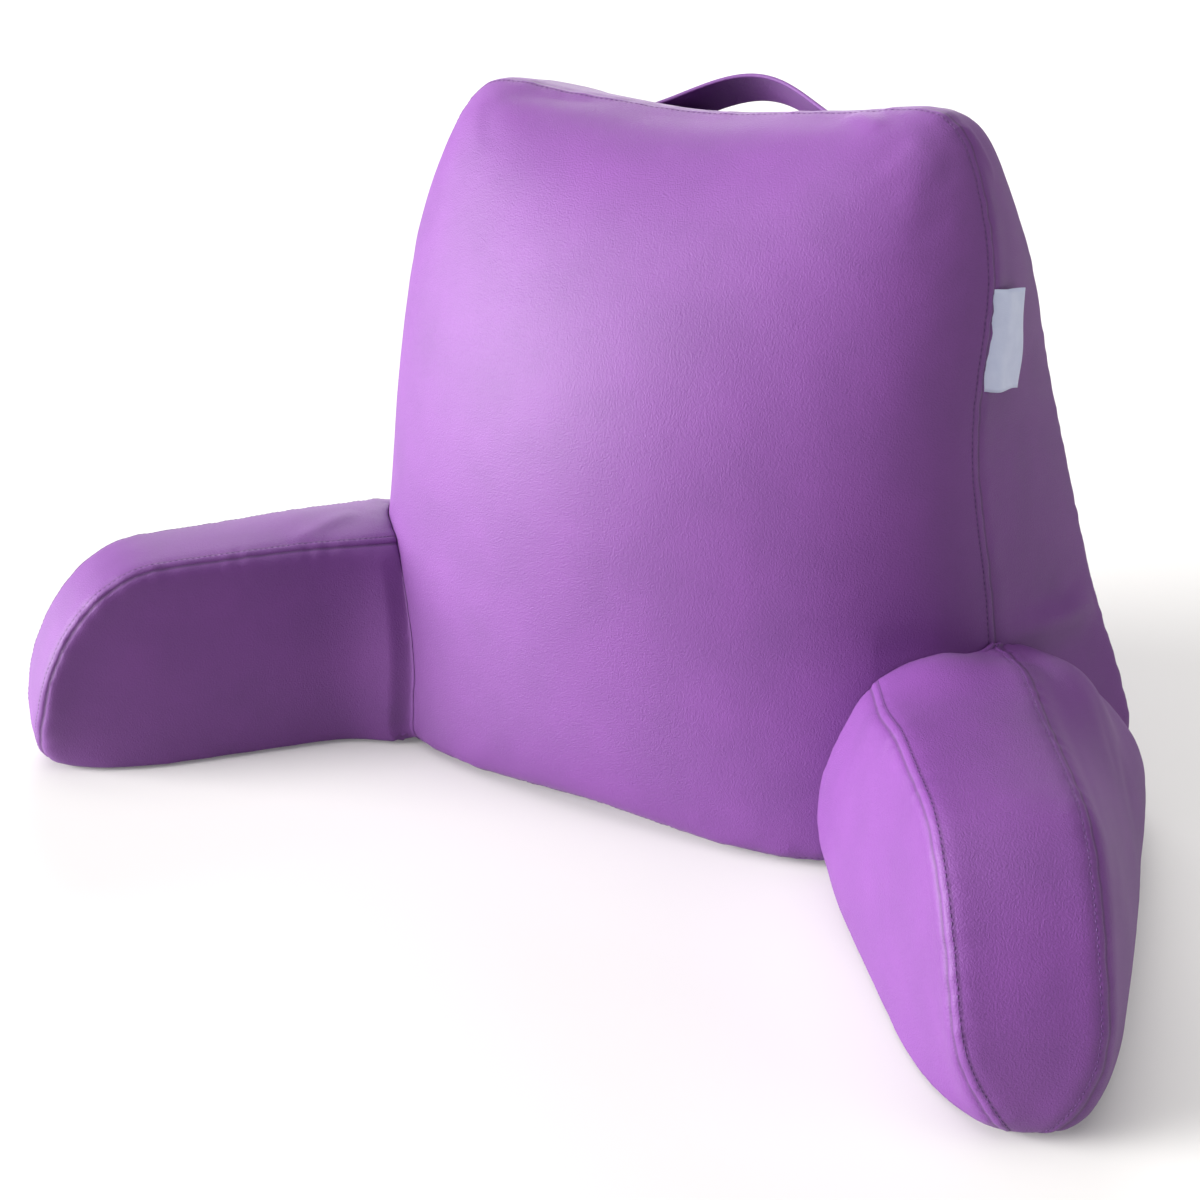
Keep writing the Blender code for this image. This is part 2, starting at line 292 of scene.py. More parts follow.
def relax(piece, times):
    smooth = piece.modifiers.new("relax", "SMOOTH")
    smooth.factor = 0.5
    smooth.iterations = times
    apply_modifier(piece, smooth)


def cloth_copy(node, name, voxel):
    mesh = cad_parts[node].data.copy()
    mesh.materials.clear()
    piece = bpy.data.objects.new(name, mesh)
    bpy.context.scene.collection.objects.link(piece)
    only(piece)
    bpy.ops.object.mode_set(mode="EDIT")
    bpy.ops.mesh.select_all(action="SELECT")
    bpy.ops.mesh.remove_doubles(threshold=MERGE_WITHIN)
    bpy.ops.object.mode_set(mode="OBJECT")
    remesh = piece.modifiers.new("even squares", "REMESH")
    remesh.mode = "VOXEL"
    remesh.voxel_size = voxel
    apply_modifier(piece, remesh)
    relax(piece, CUBE_PASSES)
    print(name, "squares:", len(piece.data.polygons))
    return piece


back = cloth_copy("back_cushion", "back_cover", BACK_VOXEL)
arms = {side: cloth_copy(f"arm_{side}", f"arm_cover_{side}", ARM_VOXEL) for side in SIDES}

# %% [markdown]
# ## A fuller right arm
#
# The right arm is stuffed fuller on its inner side, so its inner seam lies further in. The seam was drawn
# there already, and here the cover goes with it. The CAD solid does not have this.

# %% Widen the right arm
WIDER_FROM_V = -0.010
WIDER_FULL_V = 0.030

points = points_of(arms["right"])
u, v = arm_ways(points, "right")
wider = INNER_SLIDE["right"] * step_up(u, 0.0, SLIDE_FULL_U) * step_up(-v, WIDER_FROM_V, WIDER_FULL_V)
points[:, 0] -= cos(ARM_SPLAY["right"]) * wider
points[:, 1] -= sin(ARM_SPLAY["right"]) * wider
put_points(arms["right"], points)
print("right arm wider by, mm:", round(1000 * wider.max(), 1))

# %% [markdown]
# ## Filling
#
# Real foam presses outwards against the cover, and the seams hold it back. Cloth physics does the same: an
# even pressure inside, with the points beside the seams held. The cover is first drawn in a little, because
# the filling swells it again. No point may go further than a set limit, and the small wrinkles that are
# left are smoothed out, because the photograph shows taut cloth.

# %% Fill a cover
PRESSURE = 4.0
DRAWN_IN = 0.0020
HELD_WITHIN = 0.006
FREE_FROM = 0.022
FILL_FRAMES = 20
FLOOR_LEVEL = 0.004
SEAM_SAMPLE = 0.003
BACK_MOST, BACK_PASSES = 0.010, 5
ARM_MOST, ARM_PASSES = 0.007, 18


def distance_to(points, lines):
    samples = np.vstack([even_steps(line, SEAM_SAMPLE)[0] for line in lines])
    tree = KDTree(len(samples))
    for i, sample in enumerate(samples):
        tree.insert(sample, i)
    tree.balance()
    return np.array([tree.find(point)[2] for point in points])


def fill_cover(piece, seams, most):
    start = points_of(piece)
    near = distance_to(start, seams)
    held = np.clip((FREE_FROM - near) / (FREE_FROM - HELD_WITHIN), 0, 1)
    held[start[:, 2] < FLOOR_LEVEL] = 1
    drawn = start - normals_of(piece) * DRAWN_IN * (1 - held)[:, None]
    put_points(piece, drawn)
    group = piece.vertex_groups.new(name="held")
    for level in np.unique(np.round(held, 1)):
        if level > 0:
            members = np.flatnonzero(np.round(held, 1) == level)
            group.add(members.tolist(), float(level), "REPLACE")
    cloth = piece.modifiers.new("filling", "CLOTH")
    cloth.settings.use_pressure = True
    cloth.settings.uniform_pressure_force = PRESSURE
    cloth.settings.vertex_group_mass = "held"
    cloth.settings.effector_weights.gravity = 0
    cloth.point_cache.frame_end = FILL_FRAMES
    for number in range(1, FILL_FRAMES + 1):
        bpy.context.scene.frame_set(number)
    apply_modifier(piece, cloth)
    bpy.context.scene.frame_set(1)
    moved = points_of(piece) - drawn
    far = np.linalg.norm(moved, axis=1, keepdims=True)
    put_points(piece, drawn + moved * np.minimum(1, most / np.maximum(far, 1e-9)))
    piece.vertex_groups.clear()
    print(piece.name, "moved, mm: mean", round(1000 * far.mean(), 2), "most", round(1000 * far.max(), 2))


fill_cover(back, [front_seam, rear_seam], BACK_MOST)
relax(back, BACK_PASSES)
for side in SIDES:
    fill_cover(arms[side], list(arm_seams[side].values()), ARM_MOST)
    relax(arms[side], ARM_PASSES)
print("filled back, top at, m:", round(points_of(back)[:, 2].max(), 4))

# %% [markdown]
# ## Where an arm spreads onto the front
#
# Low down, the inner panel of an arm doesn't meet the front at a sharp angle. It is sewn to the front panel
# a little further in, so it spreads towards the middle as it nears the crease.

# %% Spread the roots of the arms
SPREAD = {"left": 0.030, "right": 0.002}
SPREAD_FORWARD = 0.25
SPREAD_TOP_Z = 0.150
SPREAD_START_U = 0.006
SPREAD_LENGTH = 0.030
SPREAD_FULL_V = 0.030


def spread_root(piece, side):
    points = points_of(piece)
    mirror = 1 if side == "right" else -1
    u, v = arm_ways(points, side)
    near = np.exp(-((np.maximum(u - SPREAD_START_U, 0) / SPREAD_LENGTH) ** 2))
    low = 1 - np.clip(points[:, 2] / SPREAD_TOP_Z, 0, 1) ** 2
    inner = step_up(-v, 0.0, SPREAD_FULL_V)
    amount = SPREAD[side] * near * low * inner
    points[:, 0] -= mirror * amount
    points[:, 1] -= SPREAD_FORWARD * amount
    put_points(piece, points)
    print(piece.name, "spread by, mm:", round(1000 * amount.max(), 1))


for side in SIDES:
    spread_root(arms[side], side)

# %% [markdown]
# ## Fuller and slacker places
#
# A stuffed cover is never quite even. Here and there the filling presses it out, or it is a little slack.
# Such a place is a soft round hill or hollow, and a fold is the same along a line. Two tables name them. On
# the arms the hills are placed in the arm's own directions.

# %% Hills and hollows
SWELLS = (
    # piece  place                x or u   y or v   z      radius  height
    ("back", "middle of the front", -0.02, -0.030,  0.270, 0.150,  0.0180),
    ("right", "strip at the root",  0.016, -0.014,  0.150, 0.040,  0.0060),
    ("right", "outer seam, root",  -0.009,  0.040,  0.155, 0.032, -0.0100),
    ("right", "outer panel, top",   0.030,  0.076,  0.125, 0.040,  0.0070),
    ("right", "outer panel, root", -0.008,  0.080,  0.128, 0.036,  0.0130),
    ("left", "strip at the root",   0.060,  0.010,  0.158, 0.035,  0.0020),
)
FOLDS = (
    # piece, place, start, end, width, height
    ("back", "gusset over the right arm", (0.268, 0.107, 0.134), (0.253, -0.039, 0.153), 0.0110, 0.0060),
    ("back", "front over the right arm", (0.186, -0.092, 0.152), (0.241, -0.044, 0.154), 0.0160, -0.0012),
    ("back", "gusset by the corner", (0.177, 0.013, 0.462), (0.194, 0.033, 0.427), 0.0080, 0.0018),
    ("back", "top edge, right", (0.108, 0.006, 0.464), (0.137, -0.011, 0.461), 0.0070, 0.0016),
    ("back", "top edge, left", (-0.149, -0.008, 0.463), (-0.060, 0.006, 0.460), 0.0080, -0.0014),
    ("left", "strip near the root", (-0.243, -0.150, 0.157), (-0.238, -0.080, 0.162), 0.0080, 0.0013),
)


def press_out(piece, distances, height):
    put_points(piece, points_of(piece) + normals_of(piece) * (height * np.exp(-(distances**2)))[:, None])


def swell(piece, middle, radius, height):
    press_out(piece, np.linalg.norm(points_of(piece) - middle, axis=1) / radius, height)


def fold(piece, start, end, width, height):
    start, way = np.array(start), np.array(end) - np.array(start)
    points = points_of(piece)
    share = np.clip((points - start) @ way / (way @ way), 0, 1)
    far = np.linalg.norm(points - start - share[:, None] * way, axis=1) / width
    press_out(piece, far, height * (1 - np.abs(2 * share - 1) ** 3))


covers = {"back": back, **arms}
for key, _, x, y, z, radius, height in SWELLS:
    middle = (x, y - ORIGIN_Y, z) if key == "back" else arm_point(key, x, y, z)
    swell(covers[key], middle, radius, height)
print("hills and hollows:", len(SWELLS))

# %% [markdown]
# ## Finer squares and the folds
#
# A fold is narrower than a hill, so it needs smaller squares. A subdivision surface cuts each square in
# four and rounds the cover, and the folds are pressed in after it.

# %% Finer squares
for piece in (back, *arms.values()):
    finer = piece.modifiers.new("finer", "SUBSURF")
    finer.levels = 1
    finer.render_levels = 1
    apply_modifier(piece, finer)
    only(piece)
    bpy.ops.object.shade_smooth()
    print(piece.name, "squares:", len(piece.data.polygons))
for key, _, start, end, width, height in FOLDS:
    fold(covers[key], start, end, width, height)
print("folds:", len(FOLDS))

# %% [markdown]
# ## Where each point lies beside its seam
#
# To sew a cover, every point near a seam has to know two things: how far to which side of the seam it lies,
# and how far along the seam. The first is also kept as an attribute of the mesh, which the velour reads. A
# plus distance lies on the stitched side.

# %% Lay the seams on the cover
SEAM_REACH = 0.030
SEAM_STRAYS = 0.012
STITCH_OFFSET = 0.0063
PLACES_MEAN = 25
NORMALS_MEAN = 41
BEND_FROM = 0.001
BEND_FULL = 0.005


def soften(rows, width):
    """A running mean over the rows of an array."""
    padded = np.pad(rows, ((width // 2, width // 2), (0, 0)), mode="edge")
    return np.stack([np.convolve(padded[:, k], np.ones(width) / width, "valid") for k in range(3)], axis=1)


def unit_rows(rows):
    return rows / np.linalg.norm(rows, axis=1, keepdims=True)


def lay_seam(line, tree, stitched_side):
    """A seam pulled onto the cover: its places, its directions ahead and aside, and the length travelled."""
    samples, travelled = even_steps(line, SEAM_STEP)
    places, normals, along = [], [], []
    for sample, length in zip(samples, travelled):
        place, normal, _, distance = tree.find_nearest(Vector(sample))
        if distance < SEAM_STRAYS:
            places.append(place)
            normals.append(normal)
            along.append(length)
    places = soften(np.array(places), PLACES_MEAN)
    normals = soften(np.array(normals), NORMALS_MEAN)
    ahead = unit_rows(np.gradient(places, axis=0))
    aside = unit_rows(np.cross(ahead, normals)) * stitched_side
    return {"places": places, "ahead": ahead, "aside": aside, "along": np.array(along)}


def beside_seams(points, seams):
    """How far each point lies beside the nearest seam, and how far along it."""
    kinds = ("places", "ahead", "aside")
    places, ahead, aside = (np.vstack([seam[key] for seam in seams]) for key in kinds)
    along = np.concatenate([seam["along"] for seam in seams])
    tree = KDTree(len(places))
    for i, place in enumerate(places):
        tree.insert(place, i)
    tree.balance()
    nearest = np.array([tree.find(point)[1] for point in points])
    away = points - places[nearest]
    away -= ahead[nearest] * (away * ahead[nearest]).sum(axis=1, keepdims=True)
    side = (away * aside[nearest]).sum(axis=1)
    rest = (away * away).sum(axis=1) - side * side
    bend = step_up(np.abs(side), BEND_FROM, BEND_FULL)
    distance = np.sign(side) * np.sqrt(side * side + np.maximum(rest, 0) * bend)
    return np.clip(distance, -SEAM_REACH, SEAM_REACH), along[nearest]


print("topstitching beside the seam, mm:", 1000 * STITCH_OFFSET)


# %% [markdown]
# ## Sewing the seams
#
# Where two panels meet, the cover dips a little. The cloth that is turned in behind it lies under the
# stitched side and lifts it, out to the line of topstitching. Thread pulls cloth together, so faint puckers
# cross the seam. Those soft forms are in the mesh. The sharp lines are too fine for it and come with the
# material, as bump and as painted shade.

# %% Sew
DIP_DEPTH = 0.0006
DIP_WIDTH = 0.0026
TURNED_IN_RISE = 0.0005
RISE_STARTS, RISE_FULL = 0.0005, 0.0030
RISE_FALLS, RISE_ENDS = 0.0050, 0.0080
STITCH_DIP = 0.0003
STITCH_DIP_WIDTH = 0.0020
PUCKER = 0.00035
PUCKER_LENGTH = 0.019
PUCKER_REACH = 0.009
PUCKER_WANDER, WANDER_RATE = 1.1, 0.31
PUCKER_FADE_RATE, PUCKER_FADE_START = 0.17, 1.3


def sew(piece, seams):
    points = points_of(piece)
    distance, along = beside_seams(points, seams)
    height = -DIP_DEPTH * np.exp(-((distance / DIP_WIDTH) ** 2))
    rises = step_up(distance, RISE_STARTS, RISE_FULL)
    height += TURNED_IN_RISE * rises * (1 - step_up(distance, RISE_FALLS, RISE_ENDS))
    height -= STITCH_DIP * np.exp(-(((distance - STITCH_OFFSET) / STITCH_DIP_WIDTH) ** 2))
    turns = 2 * pi * along / PUCKER_LENGTH
    ripple = np.sin(turns + PUCKER_WANDER * np.sin(turns * WANDER_RATE))
    ripple = ripple * np.sin(turns * PUCKER_FADE_RATE + PUCKER_FADE_START)
    height += PUCKER * ripple * np.exp(-((distance / PUCKER_REACH) ** 2))
    height[points[:, 2] < FLOOR_LEVEL] = 0
    sewn = points + normals_of(piece) * height[:, None]
    sewn[:, 2] = np.maximum(sewn[:, 2], 0)
    put_points(piece, sewn)
    attribute = piece.data.attributes.new("seam_side", "FLOAT", "POINT")
    attribute.data.foreach_set("value", distance.astype(np.float32))
    print(piece.name, "points beside a seam:", int((np.abs(distance) < PUCKER_REACH).sum()))


back_tree = surface_tree(back)
laid = {"back": [lay_seam(front_seam, back_tree, -1), lay_seam(rear_seam, back_tree, 1)]}
sew(back, laid["back"])
for side, turn in (("left", -1), ("right", 1)):
    tree = surface_tree(arms[side])
    inner, outer = arm_seams[side]["inner"], arm_seams[side]["outer"]
    laid[side] = [lay_seam(inner, tree, -turn), lay_seam(outer, tree, turn)]
    sew(arms[side], laid[side])

# %% [markdown]
# ## Sewing the arms to the back
#
# The arms are sewn on, so no light shows between an arm and the back. The last few millimetres of each arm
# are pressed towards the cover of the back, and stop a hair above it.

# %% Press the arms on
PRESS_WITHIN = 0.014
PRESSED_FLAT = 0.005
HAIR = 0.0004
LOOK_WITHIN = 0.03
PRESS_POWER = 1.8


def press_on(piece, tree):
    points = points_of(piece)
    pressed = 0
    for i, point in enumerate(points):
        place, normal, _, distance = tree.find_nearest(Vector(point), LOOK_WITHIN)
        if place is None:
            continue
        signed = distance if (Vector(point) - place).dot(normal) > 0 else -distance
        if signed < PRESS_WITHIN:
            share = max(signed - PRESSED_FLAT, 0) / (PRESS_WITHIN - PRESSED_FLAT)
            points[i] = place + normal * (HAIR + (PRESS_WITHIN - HAIR) * share**PRESS_POWER)
            pressed += 1
    points[:, 2] = np.maximum(points[:, 2], 0)
    put_points(piece, points)
    print(piece.name, "points pressed on:", pressed)


back_tree = surface_tree(back)
for side in SIDES:
    press_on(arms[side], back_tree)

# %% [markdown]
# ## Topstitching
#
# The photograph shows such rows beside the seams of the arms and down the side. It shows none along the top
# edge, and the back is out of sight, so the rows there are guessed.
#
# One stitch is a short thread that dives into the cloth at both ends. It is a small sphere drawn out along
# the seam and sunk a little more than half in the pile. The whole row is one mesh of copies.

# %% One stitch, many times
STITCH_LENGTH = 0.0031
STITCH_PITCH = 0.0040
THREAD = 0.00042
STITCH_SINK = 0.00012
SHOWS_ABOVE = 0.006

bpy.ops.mesh.primitive_uv_sphere_add(segments=6, ring_count=5, radius=1)
stitch = bpy.context.active_object
stitch_points = points_of(stitch)
stitch_faces = [tuple(face.vertices) for face in stitch.data.polygons]
bpy.data.objects.remove(stitch)


def stitch_row(name, piece, seam):
    tree = surface_tree(piece)
    every = round(STITCH_PITCH / SEAM_STEP)
    points, faces = [], []
    wanted = seam["places"] + seam["aside"] * STITCH_OFFSET
    for i in range(every, len(wanted) - every, every):
        place, normal, _, distance = tree.find_nearest(Vector(wanted[i]))
        if distance > SEAM_STRAYS or place.z <= SHOWS_ABOVE:
            continue
        ahead = Vector(seam["ahead"][i])
        ahead = (ahead - normal * ahead.dot(normal)).normalized()
        across = normal.cross(ahead)
        first = len(points)
        for x, y, z in stitch_points:
            point = place + normal * (THREAD * z - STITCH_SINK)
            points.append(point + ahead * (STITCH_LENGTH / 2 * x) + across * (THREAD * y))
        faces += [tuple(first + corner for corner in face) for face in stitch_faces]
    mesh = bpy.data.meshes.new(name)
    mesh.from_pydata([tuple(point) for point in points], [], faces)
    row = bpy.data.objects.new(name, mesh)
    bpy.context.scene.collection.objects.link(row)
    mesh.shade_smooth()
    print(name, "stitches:", len(points) // len(stitch_points))
    return row


front_row = stitch_row("topstitch_front", back, laid["back"][0])
rear_row = stitch_row("topstitch_rear", back, laid["back"][1])
stitch_rows = [front_row, rear_row]
for side in SIDES:
    for edge, seam in zip(("inner", "outer"), laid[side]):
        stitch_rows.append(stitch_row(f"topstitch_{side}_{edge}", arms[side], seam))

# %% [markdown]
# ## The carry strap
#
# The strap is a plain band of the same velour. Its ends go into the top and do not show. Sewn there at
# both ends. It starts as a flat grid, is bent into its low arch, and is given its thickness and soft edges.

# %% Carry strap
STRAP_WIDTH = 0.030
STRAP_THICK = 0.0028
STRAP_TILT = radians(40)
STRAP_PEAK = (0.0, 0.190, 0.4655)
STRAP_HALF_SPAN = 0.076
STRAP_ARCH_HALF = 0.100
STRAP_RISE = 0.036
STRAP_CUP = 0.0012
STRAP_SQUARES = (56, 10)
STRAP_SOFT_EDGE = 0.0011

width_way = np.array((0.0, cos(STRAP_TILT), -sin(STRAP_TILT)))
rise_way = np.array((0.0, sin(STRAP_TILT), cos(STRAP_TILT)))


def strap_place(x, across):
    """A point of the bent band: x along its span, across from -0.5 at the front edge to 0.5."""
    drop = STRAP_RISE * sin(pi * x / STRAP_ARCH_HALF / 2) ** 2
    peak = np.array(STRAP_PEAK) - (0, ORIGIN_Y, 0)
    cupped = STRAP_CUP * (0.25 - across * across) * 4
    return peak + (x, 0, 0) - rise_way * (drop - cupped) + width_way * across * STRAP_WIDTH


bpy.ops.mesh.primitive_grid_add(x_subdivisions=STRAP_SQUARES[0], y_subdivisions=STRAP_SQUARES[1], size=1)
strap = bpy.context.active_object
strap.name = "strap"
bent = [strap_place(x * 2 * STRAP_HALF_SPAN, y) for x, y, _ in points_of(strap)]
put_points(strap, np.array(bent))
thick = strap.modifiers.new("thickness", "SOLIDIFY")
thick.thickness = STRAP_THICK
thick.offset = 0
apply_modifier(strap, thick)
round_edges = strap.modifiers.new("soft edges", "BEVEL")
round_edges.width = STRAP_SOFT_EDGE
round_edges.segments = 3
round_edges.limit_method = "ANGLE"
apply_modifier(strap, round_edges)
only(strap)
bpy.ops.object.shade_smooth()


def length_of(places):
    """The length of a line through these places, to a millimetre."""
    return round(float(np.linalg.norm(np.diff(np.array(places), axis=0), axis=1).sum()), 3)


# %% [markdown]
# ## The side label
#
# The label is a piece of woven tape folded in half, with both ends caught in the seam. It leaves the seam,
# bends over the edge and lies nearly flat on the gusset. Its free end is the fold, and it is blank.

# %% Side label
LABEL_HEIGHT = 0.060
LABEL_REACH = 0.041
LABEL_Z = 0.3405
LABEL_LIFT = radians(9)
LABEL_DROOP = 0.006
LABEL_THICK = 0.0005
LABEL_FOLD = 0.0008
LABEL_BEND = 0.014
LABEL_DIVE = 0.008
LABEL_OUT = 0.0030
LABEL_SQUARES = (72, 24)
FOLD_TIGHTNESS = 12
LABEL_WAVE, WAVE_LENGTH, WAVES_UP = 0.0007, 0.05, 1.3
LABEL_CURL, CURL_LENGTH = 0.0006, 0.0065

right_half = slice(0, len(front_seam) // 2)


def seam_at(seam, z):
    order = np.argsort(seam[right_half, 2])
    return np.array([np.interp(z, seam[right_half, 2][order], seam[right_half, k][order]) for k in range(3)])


def label_place(share, up):
    """A point of the tape. Share is 0 and 1 at its sewn ends and 0.5 at the fold; up runs from 0 to 1."""
    z = LABEL_Z + LABEL_HEIGHT * (up - 0.5)
    seam, rear = seam_at(front_seam, z), seam_at(rear_seam, z)
    run = (rear - seam) * (1, 1, 0)
    run /= np.linalg.norm(run)
    off = np.array((run[1], -run[0], 0.0))
    lay = run * cos(LABEL_LIFT) + off * sin(LABEL_LIFT)
    face = np.array((lay[1], -lay[0], 0.0))
    along = LABEL_REACH * (1 - abs(2 * share - 1))
    layer = LABEL_FOLD * np.sign(share - 0.5) * min(1.0, abs(2 * share - 1) * FOLD_TIGHTNESS) ** 0.5
    dive = LABEL_DIVE * max(0.0, 1 - along / LABEL_BEND) ** 2
    wave = LABEL_WAVE * sin(2 * pi * (up * WAVES_UP + along / WAVE_LENGTH))
    sag = LABEL_DROOP * along / LABEL_REACH + LABEL_CURL * sin(along / CURL_LENGTH) * (1 - up)
    return seam * (1, 1, 0) + (0, 0, z - sag) + lay * along + face * (layer - dive + wave) + off * LABEL_OUT


bpy.ops.mesh.primitive_grid_add(x_subdivisions=LABEL_SQUARES[0], y_subdivisions=LABEL_SQUARES[1], size=1)
label = bpy.context.active_object
label.name = "label"
put_points(label, np.array([label_place(x + 0.5, y + 0.5) for x, y, _ in points_of(label)]))
thick = label.modifiers.new("thickness", "SOLIDIFY")
thick.thickness = LABEL_THICK
thick.offset = 0
apply_modifier(label, thick)
only(label)
bpy.ops.object.shade_smooth()
shares = np.linspace(0, 1, LABEL_SQUARES[0] + 1)
label_length = length_of([label_place(share, 0.5) for share in shares])
print("label, flat length, m:", label_length)

# %% [markdown]
# ## Colours and nodes
#
# Colours are written as sRGB hex values and turned to linear light by one function. One small function adds
# a node, sets it and links it.


# %% Colour and node helpers
def linear(hex_colour):
    """A colour such as 7A3C9E as linear red, green, blue and alpha."""
    channels = [int(hex_colour[i : i + 2], 16) / 255 for i in (0, 2, 4)]
    return [c / 12.92 if c <= 0.04045 else ((c + 0.055) / 1.055) ** 2.4 for c in channels] + [1.0]


def new_material(name):
    material = bpy.data.materials.new(name)
    material.use_nodes = True
    return material, material.node_tree.nodes["Principled BSDF"]


def add(material, kind, settings=None, links=None, **values):
    """A node: settings are its own properties, links go into its sockets, and values set sockets."""
    tree = material.node_tree
    node = tree.nodes.new(kind)
    for name, value in (settings or {}).items():
        setattr(node, name, value)
    for socket, source in (links or {}).items():
        tree.links.new(source, node.inputs[socket])
    for socket, value in values.items():
        node.inputs[socket.replace("_", " ")].default_value = value
    return node


print("white is", linear("FFFFFF"))


# %% [markdown]
# ## Velour
#
# Velour is a knitted cloth with a dense short pile that is cut off level. Light that grazes the pile
# catches the tips and turns pale, and light straight into it sinks between them and looks deep. A rough
# surface with a fairly strong shine stands in for that here, with only a trace of sheen. The pile leans
# this way and that in patches, which mottles the colour, and it is slightly pebbled. Real pile is finer
# than the size given here and would not show, so it is drawn coarser. Over the seams the colour is
# darkened: painted shade in the crease and along the line of stitches.

# %% Lines across a seam
RAMP_REACH = 0.010

# Heights for the bump, and painted shade for the colour, across a seam, 10 mm to each side of it. The
# stitched side is the plus side.
SEAM_PROFILE = (
    # distance, m  height
    (-0.0100, 0.50), (-0.0024, 0.50), (-0.0006, 0.12), (0.0004, 0.12), (0.0018, 0.80), (0.0048, 0.74),
    (0.0058, 0.36), (0.0068, 0.36), (0.0080, 0.52), (0.0100, 0.50),
)
SEAM_PAINTED_SHADE = (
    # distance, m  painted shade
    (-0.0100, 1.0), (-0.0016, 0.98), (-0.0004, 0.62), (0.0004, 0.62), (0.0014, 1.0), (0.0052, 1.0),
    (0.0060, 0.76), (0.0066, 0.76), (0.0076, 1.0), (0.0100, 1.0),
)


def shape_ramp(node, rows):
    ramp = node.color_ramp
    while len(ramp.elements) < len(rows):
        ramp.elements.new(0.5)
    for element, (distance, value) in zip(ramp.elements, rows):
        element.position = (distance + RAMP_REACH) / (2 * RAMP_REACH)
        element.color = (value, value, value, 1)


print("seam lines reach, mm:", 1000 * RAMP_REACH)

# %% Velour material
PILE_MM = 0.9
PEBBLE_MM = 1.3
PATCH_MM = 45
MM = 0.001
PATCH_WEIGHT = 2.0
MOTTLE_FROM, MOTTLE_TO = 0.9, 2.1
VELOUR_ROUGHNESS = 0.65
VELOUR_SHINE = 0.65
VELOUR_SHEEN = 0.03
SHEEN_ROUGHNESS = 0.4
PEBBLE_WEIGHT = 0.8
PILE_BUMP = {"Strength": 0.8, "Distance": 0.0004}
CREASE_BUMP = {"Strength": 1.0, "Distance": 0.0005}


def per_metre(size_mm):
    """The scale of a noise whose spots are this many millimetres wide."""
    return 1 / (size_mm * MM)


def velour(name, deep, mid, sewn):
    material, shader = new_material(name)
    place = add(material, "ShaderNodeTexCoord").outputs["Object"]
    noise, at = "ShaderNodeTexNoise", {"Vector": place}
    patches = add(material, noise, links=at, Scale=per_metre(PATCH_MM), Detail=3.0)
    pile = add(material, noise, links=at, Scale=per_metre(PILE_MM), Detail=2.0)
    pebble = add(material, noise, links=at, Scale=per_metre(PEBBLE_MM), Detail=3.0)
    mottle = add(material, "ShaderNodeMath", {"operation": "MULTIPLY_ADD"}, {0: patches.outputs["Fac"]})
    mottle.inputs[1].default_value = PATCH_WEIGHT
    material.node_tree.links.new(pebble.outputs["Fac"], mottle.inputs[2])
    share = add(material, "ShaderNodeMapRange", links={"Value": mottle.outputs[0]})
    share.inputs["From Min"].default_value = MOTTLE_FROM
    share.inputs["From Max"].default_value = MOTTLE_TO
    colour = add(material, "ShaderNodeMix", {"data_type": "RGBA"}, {"Factor": share.outputs[0]})
    colour.inputs[6].default_value = linear(deep)
    colour.inputs[7].default_value = linear(mid)
    shader.inputs["Roughness"].default_value = VELOUR_ROUGHNESS
    shader.inputs["Specular IOR Level"].default_value = VELOUR_SHINE
    shader.inputs["Sheen Weight"].default_value = VELOUR_SHEEN
    shader.inputs["Sheen Roughness"].default_value = SHEEN_ROUGHNESS
    heights = {0: pebble.outputs["Fac"], 2: pile.outputs["Fac"]}
    relief = add(material, "ShaderNodeMath", {"operation": "MULTIPLY_ADD"}, heights)
    relief.inputs[1].default_value = PEBBLE_WEIGHT
    pile_bump = add(material, "ShaderNodeBump", links={"Height": relief.outputs[0]}, **PILE_BUMP)
    if not sewn:
        material.node_tree.links.new(colour.outputs[2], shader.inputs["Base Color"])
        material.node_tree.links.new(pile_bump.outputs[0], shader.inputs["Normal"])
        return material
    beside = add(material, "ShaderNodeAttribute", {"attribute_name": "seam_side"})
    spread = add(material, "ShaderNodeMapRange", links={"Value": beside.outputs["Fac"]})
    spread.inputs["From Min"].default_value = -RAMP_REACH
    spread.inputs["From Max"].default_value = RAMP_REACH
    profile = add(material, "ShaderNodeValToRGB", links={"Fac": spread.outputs[0]})
    shape_ramp(profile, SEAM_PROFILE)
    over_pile = {"Height": profile.outputs[0], "Normal": pile_bump.outputs[0]}
    crease = add(material, "ShaderNodeBump", links=over_pile, **CREASE_BUMP)
    # Painted shade: the colour is darkened in the seam's crease and along the line of stitches.
    shade = add(material, "ShaderNodeValToRGB", links={"Fac": spread.outputs[0]})
    shape_ramp(shade, SEAM_PAINTED_SHADE)
    painted_seam_shade = add(material, "ShaderNodeMix", {"data_type": "RGBA", "blend_type": "MULTIPLY"},
               {6: colour.outputs[2], 7: shade.outputs[0]})
    painted_seam_shade.inputs["Factor"].default_value = 1.0
    material.node_tree.links.new(painted_seam_shade.outputs[2], shader.inputs["Base Color"])
    material.node_tree.links.new(crease.outputs[0], shader.inputs["Normal"])
    return material


velour_sewn = velour("velour_cut_pile", "5E2872", "682D7C", sewn=True)
velour_plain = velour("velour_strap", "58246C", "622A76", sewn=False)
print("velour nodes:", len(velour_sewn.node_tree.nodes))

# %% [markdown]
# ## Thread and label tape
#
# The thread is matching polyester, a shade deeper than the pile and a little shinier. The label is woven
# from fine polyester yarn: pale, smooth and slightly satin, with ribs too fine to see from a step away.

# %% Thread and tape materials
RIB_MM = 1.047
CLOUD_MM = 9
TAPE_BUMP = {"Strength": 0.25, "Distance": 0.0002}
THREAD_ROUGHNESS = 0.55
TAPE_ROUGHNESS = 0.5

thread, thread_shader = new_material("polyester_thread")
thread_shader.inputs["Base Color"].default_value = linear("4A1E5E")
thread_shader.inputs["Roughness"].default_value = THREAD_ROUGHNESS

tape, tape_shader = new_material("woven_satin_tape")
tape_place = add(tape, "ShaderNodeTexCoord").outputs["Object"]
